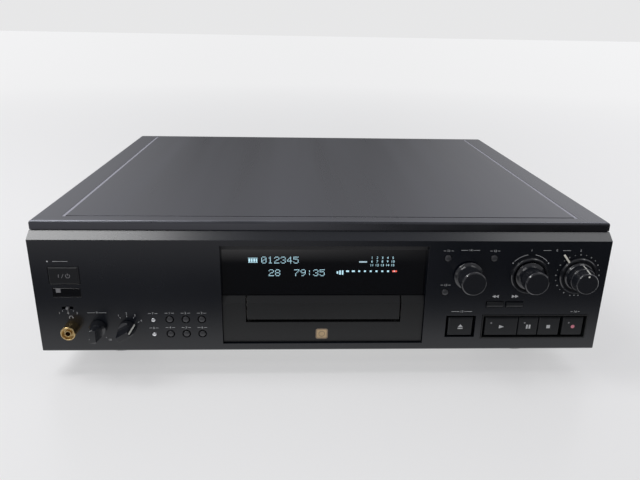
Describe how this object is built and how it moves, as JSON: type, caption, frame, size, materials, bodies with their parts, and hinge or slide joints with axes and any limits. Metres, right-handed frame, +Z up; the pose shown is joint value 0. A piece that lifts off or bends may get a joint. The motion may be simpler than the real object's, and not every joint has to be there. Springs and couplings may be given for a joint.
{
  "type": "minidisc deck",
  "caption": "Wide low disc recorder deck with a motor drawer under its display, level knobs, transport keys, rear sockets and four round feet.",
  "frame": {"origin": "centre of the bounding box at the surface the feet stand on", "axes": "front faces -Y, +X is to the right seen from in front, +Z is up"},
  "size_m": [0.43, 0.3774, 0.125],
  "materials": {
    "circuit_board": "green solder mask",
    "button_bright": "polished",
    "button_black": "satin black",
    "transformer_core": "varnished laminations",
    "display_tube": "evacuated glass tube with a metal back",
    "front_paint": "satin black anodised front",
    "gold_plate": "gold plated",
    "knob_black": "glossy black lacquer",
    "lever_grey": "satin grey",
    "white_nylon": "unpainted nylon",
    "panel_black": "satin moulded black",
    "foot_black": "moulded black with felt ring",
    "screw_black": "black passivated",
    "socket_black": "moulded black",
    "bare_steel": "ground steel",
    "steel_black": "fine textured black paint",
    "top_paint": "satin dark grey metallic",
    "window_glass": "polished dark acrylic",
    "zinc_steel": "zinc plated sheet"
  },
  "bodies": {
    "case": {"fascia": "front_paint", "top_plate": "top_paint", "side_panel_left": "steel_black", "side_panel_right": "steel_black", "chassis_base": "zinc_steel", "rear_panel": "steel_black", "feet": "foot_black", "case_screws": "screw_black", "display_window": "window_glass", "centre_panel": "panel_black", "ir_window": "window_glass", "phones_jack": "socket_black", "headphone_adapter": "gold_plate", "digital_level_ring": "knob_black", "transport_bezel": "panel_black", "loader_frame": "white_nylon", "loading_motor": "bare_steel", "guide_rods": "bare_steel", "display_module": "display_tube", "control_board": "circuit_board", "main_board": "circuit_board", "power_board": "circuit_board", "transformer": "transformer_core", "phono_sockets": "gold_plate", "optical_ports": "socket_black", "mains_inlet": "socket_black"},
    "power_button": {"power_button": "button_black"},
    "timer_lever": {"timer_lever": "lever_grey"},
    "phone_level_knob": {"phone_level_knob": "knob_black"},
    "input_selector_knob": {"input_selector_knob": "knob_black"},
    "jog_shaft": {"jog_shaft": "bare_steel"},
    "jog_knob": {"jog_knob": "knob_black"},
    "digital_level_knob": {"digital_level_knob": "knob_black"},
    "balance_ring": {"balance_ring": "knob_black"},
    "analog_level_knob": {"analog_level_knob": "knob_black"},
    "drawer": {"tray_front": "panel_black", "tray": "panel_black"},
    "loading_gear": {"loading_gear": "white_nylon"},
    "motor_pinion": {"motor_pinion": "white_nylon"},
    "turntable": {"turntable": "bare_steel"},
    "sled": {"pickup_sled": "socket_black"},
    "head": {"magnetic_head": "bare_steel"},
    "pitch_button": {"pitch_button": "button_bright"},
    "filter_button": {"filter_button": "button_bright"},
    "scroll_button": {"scroll_button": "button_black"},
    "character_button": {"character_button": "button_black"},
    "repeat_button": {"repeat_button": "button_black"},
    "fader_button": {"fader_button": "button_black"},
    "clock_button": {"clock_button": "button_black"},
    "time_button": {"time_button": "button_black"},
    "menu_button": {"menu_button": "button_black"},
    "yes_button": {"yes_button": "button_black"},
    "clear_button": {"clear_button": "button_black"},
    "rewind_button": {"rewind_button": "button_black"},
    "forward_button": {"forward_button": "button_black"},
    "open_close_button": {"open_close_button": "button_black"},
    "play_button": {"play_button": "button_black"},
    "pause_button": {"pause_button": "button_black"},
    "stop_button": {"stop_button": "button_black"},
    "record_button": {"record_button": "button_black"}
  },
  "joints": [
    {"name": "power_push", "type": "slide", "parent": "case", "child": "power_button", "axis": [0, 1, 0], "range_m": [0, 0.0008], "stiffness_N_per_m": 800, "springref_m": -0.001},
    {"name": "pitch_push", "type": "slide", "parent": "case", "child": "pitch_button", "axis": [0, 1, 0], "range_m": [0, 0.0008], "stiffness_N_per_m": 800, "springref_m": -0.001},
    {"name": "filter_push", "type": "slide", "parent": "case", "child": "filter_button", "axis": [0, 1, 0], "range_m": [0, 0.0008], "stiffness_N_per_m": 800, "springref_m": -0.001},
    {"name": "scroll_push", "type": "slide", "parent": "case", "child": "scroll_button", "axis": [0, 1, 0], "range_m": [0, 0.0008], "stiffness_N_per_m": 800, "springref_m": -0.001},
    {"name": "character_push", "type": "slide", "parent": "case", "child": "character_button", "axis": [0, 1, 0], "range_m": [0, 0.0008], "stiffness_N_per_m": 800, "springref_m": -0.001},
    {"name": "repeat_push", "type": "slide", "parent": "case", "child": "repeat_button", "axis": [0, 1, 0], "range_m": [0, 0.0008], "stiffness_N_per_m": 800, "springref_m": -0.001},
    {"name": "fader_push", "type": "slide", "parent": "case", "child": "fader_button", "axis": [0, 1, 0], "range_m": [0, 0.0008], "stiffness_N_per_m": 800, "springref_m": -0.001},
    {"name": "clock_push", "type": "slide", "parent": "case", "child": "clock_button", "axis": [0, 1, 0], "range_m": [0, 0.0008], "stiffness_N_per_m": 800, "springref_m": -0.001},
    {"name": "time_push", "type": "slide", "parent": "case", "child": "time_button", "axis": [0, 1, 0], "range_m": [0, 0.0008], "stiffness_N_per_m": 800, "springref_m": -0.001},
    {"name": "menu_push", "type": "slide", "parent": "case", "child": "menu_button", "axis": [0, 1, 0], "range_m": [0, 0.0008], "stiffness_N_per_m": 800, "springref_m": -0.001},
    {"name": "yes_push", "type": "slide", "parent": "case", "child": "yes_button", "axis": [0, 1, 0], "range_m": [0, 0.0008], "stiffness_N_per_m": 800, "springref_m": -0.001},
    {"name": "clear_push", "type": "slide", "parent": "case", "child": "clear_button", "axis": [0, 1, 0], "range_m": [0, 0.0008], "stiffness_N_per_m": 800, "springref_m": -0.001},
    {"name": "rewind_push", "type": "slide", "parent": "case", "child": "rewind_button", "axis": [0, 1, 0], "range_m": [0, 0.0008], "stiffness_N_per_m": 800, "springref_m": -0.001},
    {"name": "forward_push", "type": "slide", "parent": "case", "child": "forward_button", "axis": [0, 1, 0], "range_m": [0, 0.0008], "stiffness_N_per_m": 800, "springref_m": -0.001},
    {"name": "open_close_push", "type": "slide", "parent": "case", "child": "open_close_button", "axis": [0, 1, 0], "range_m": [0, 0.0008], "stiffness_N_per_m": 800, "springref_m": -0.001},
    {"name": "play_push", "type": "slide", "parent": "case", "child": "play_button", "axis": [0, 1, 0], "range_m": [0, 0.0008], "stiffness_N_per_m": 800, "springref_m": -0.001},
    {"name": "pause_push", "type": "slide", "parent": "case", "child": "pause_button", "axis": [0, 1, 0], "range_m": [0, 0.0008], "stiffness_N_per_m": 800, "springref_m": -0.001},
    {"name": "stop_push", "type": "slide", "parent": "case", "child": "stop_button", "axis": [0, 1, 0], "range_m": [0, 0.0008], "stiffness_N_per_m": 800, "springref_m": -0.001},
    {"name": "record_push", "type": "slide", "parent": "case", "child": "record_button", "axis": [0, 1, 0], "range_m": [0, 0.0008], "stiffness_N_per_m": 800, "springref_m": -0.001},
    {"name": "jog_push", "type": "slide", "parent": "case", "child": "jog_shaft", "axis": [0, 1, 0], "range_m": [0, 0.0008], "stiffness_N_per_m": 1200, "springref_m": -0.0015},
    {"name": "jog_turn", "type": "hinge", "parent": "jog_shaft", "child": "jog_knob", "pos_m": [0.1083, -0.17625, 0.0853], "axis": [0, 1, 0], "continuous": true},
    {"name": "timer_slide", "type": "slide", "parent": "case", "child": "timer_lever", "axis": [1, 0, 0], "range_m": [-0.003, 0.003]},
    {"name": "phone_level_turn", "type": "hinge", "parent": "case", "child": "phone_level_knob", "pos_m": [-0.1709, -0.17125, 0.042], "axis": [0, 1, 0], "range_deg": [-150, 150]},
    {"name": "input_selector_turn", "type": "hinge", "parent": "case", "child": "input_selector_knob", "pos_m": [-0.149, -0.17125, 0.0415], "axis": [0, 1, 0], "range_deg": [-90, 0]},
    {"name": "digital_level_turn", "type": "hinge", "parent": "case", "child": "digital_level_knob", "pos_m": [0.155, -0.17125, 0.0853], "axis": [0, 1, 0], "continuous": true},
    {"name": "balance_turn", "type": "hinge", "parent": "case", "child": "balance_ring", "pos_m": [0.1924, -0.17125, 0.0852], "axis": [0, 1, 0], "range_deg": [-112, 188]},
    {"name": "analog_level_turn", "type": "hinge", "parent": "case", "child": "analog_level_knob", "pos_m": [0.1924, -0.17125, 0.0852], "axis": [0, 1, 0], "range_deg": [-155, 145]},
    {"name": "drawer_slide", "type": "slide", "parent": "case", "child": "drawer", "axis": [0, -1, 0], "range_m": [0, 0.09]},
    {"name": "loading_gear_spin", "type": "hinge", "parent": "case", "child": "loading_gear", "pos_m": [0.0656, -0.13825, 0.0495], "axis": [0, 0, 1], "range_deg": [0, 516]},
    {"name": "motor_pinion_spin", "type": "hinge", "parent": "case", "child": "motor_pinion", "pos_m": [0.0696, -0.12379, 0.0495], "axis": [0, 0, 1], "range_deg": [-1032, 0]},
    {"name": "turntable_spin", "type": "hinge", "parent": "case", "child": "turntable", "pos_m": [0, -0.12015, 0.0425], "axis": [0, 0, 1], "continuous": true},
    {"name": "sled_slide", "type": "slide", "parent": "case", "child": "sled", "axis": [-1, 0, 0], "range_m": [0, 0.016]},
    {"name": "head_slide", "type": "slide", "parent": "case", "child": "head", "axis": [-1, 0, 0], "range_m": [0, 0.016]}
  ],
  "couplings": [
    {"joint": "loading_gear_spin", "follows": "drawer_slide", "rad_per_m": 100},
    {"joint": "motor_pinion_spin", "follows": "drawer_slide", "rad_per_m": -200},
    {"joint": "head_slide", "follows": "sled_slide", "ratio": 1}
  ]
}
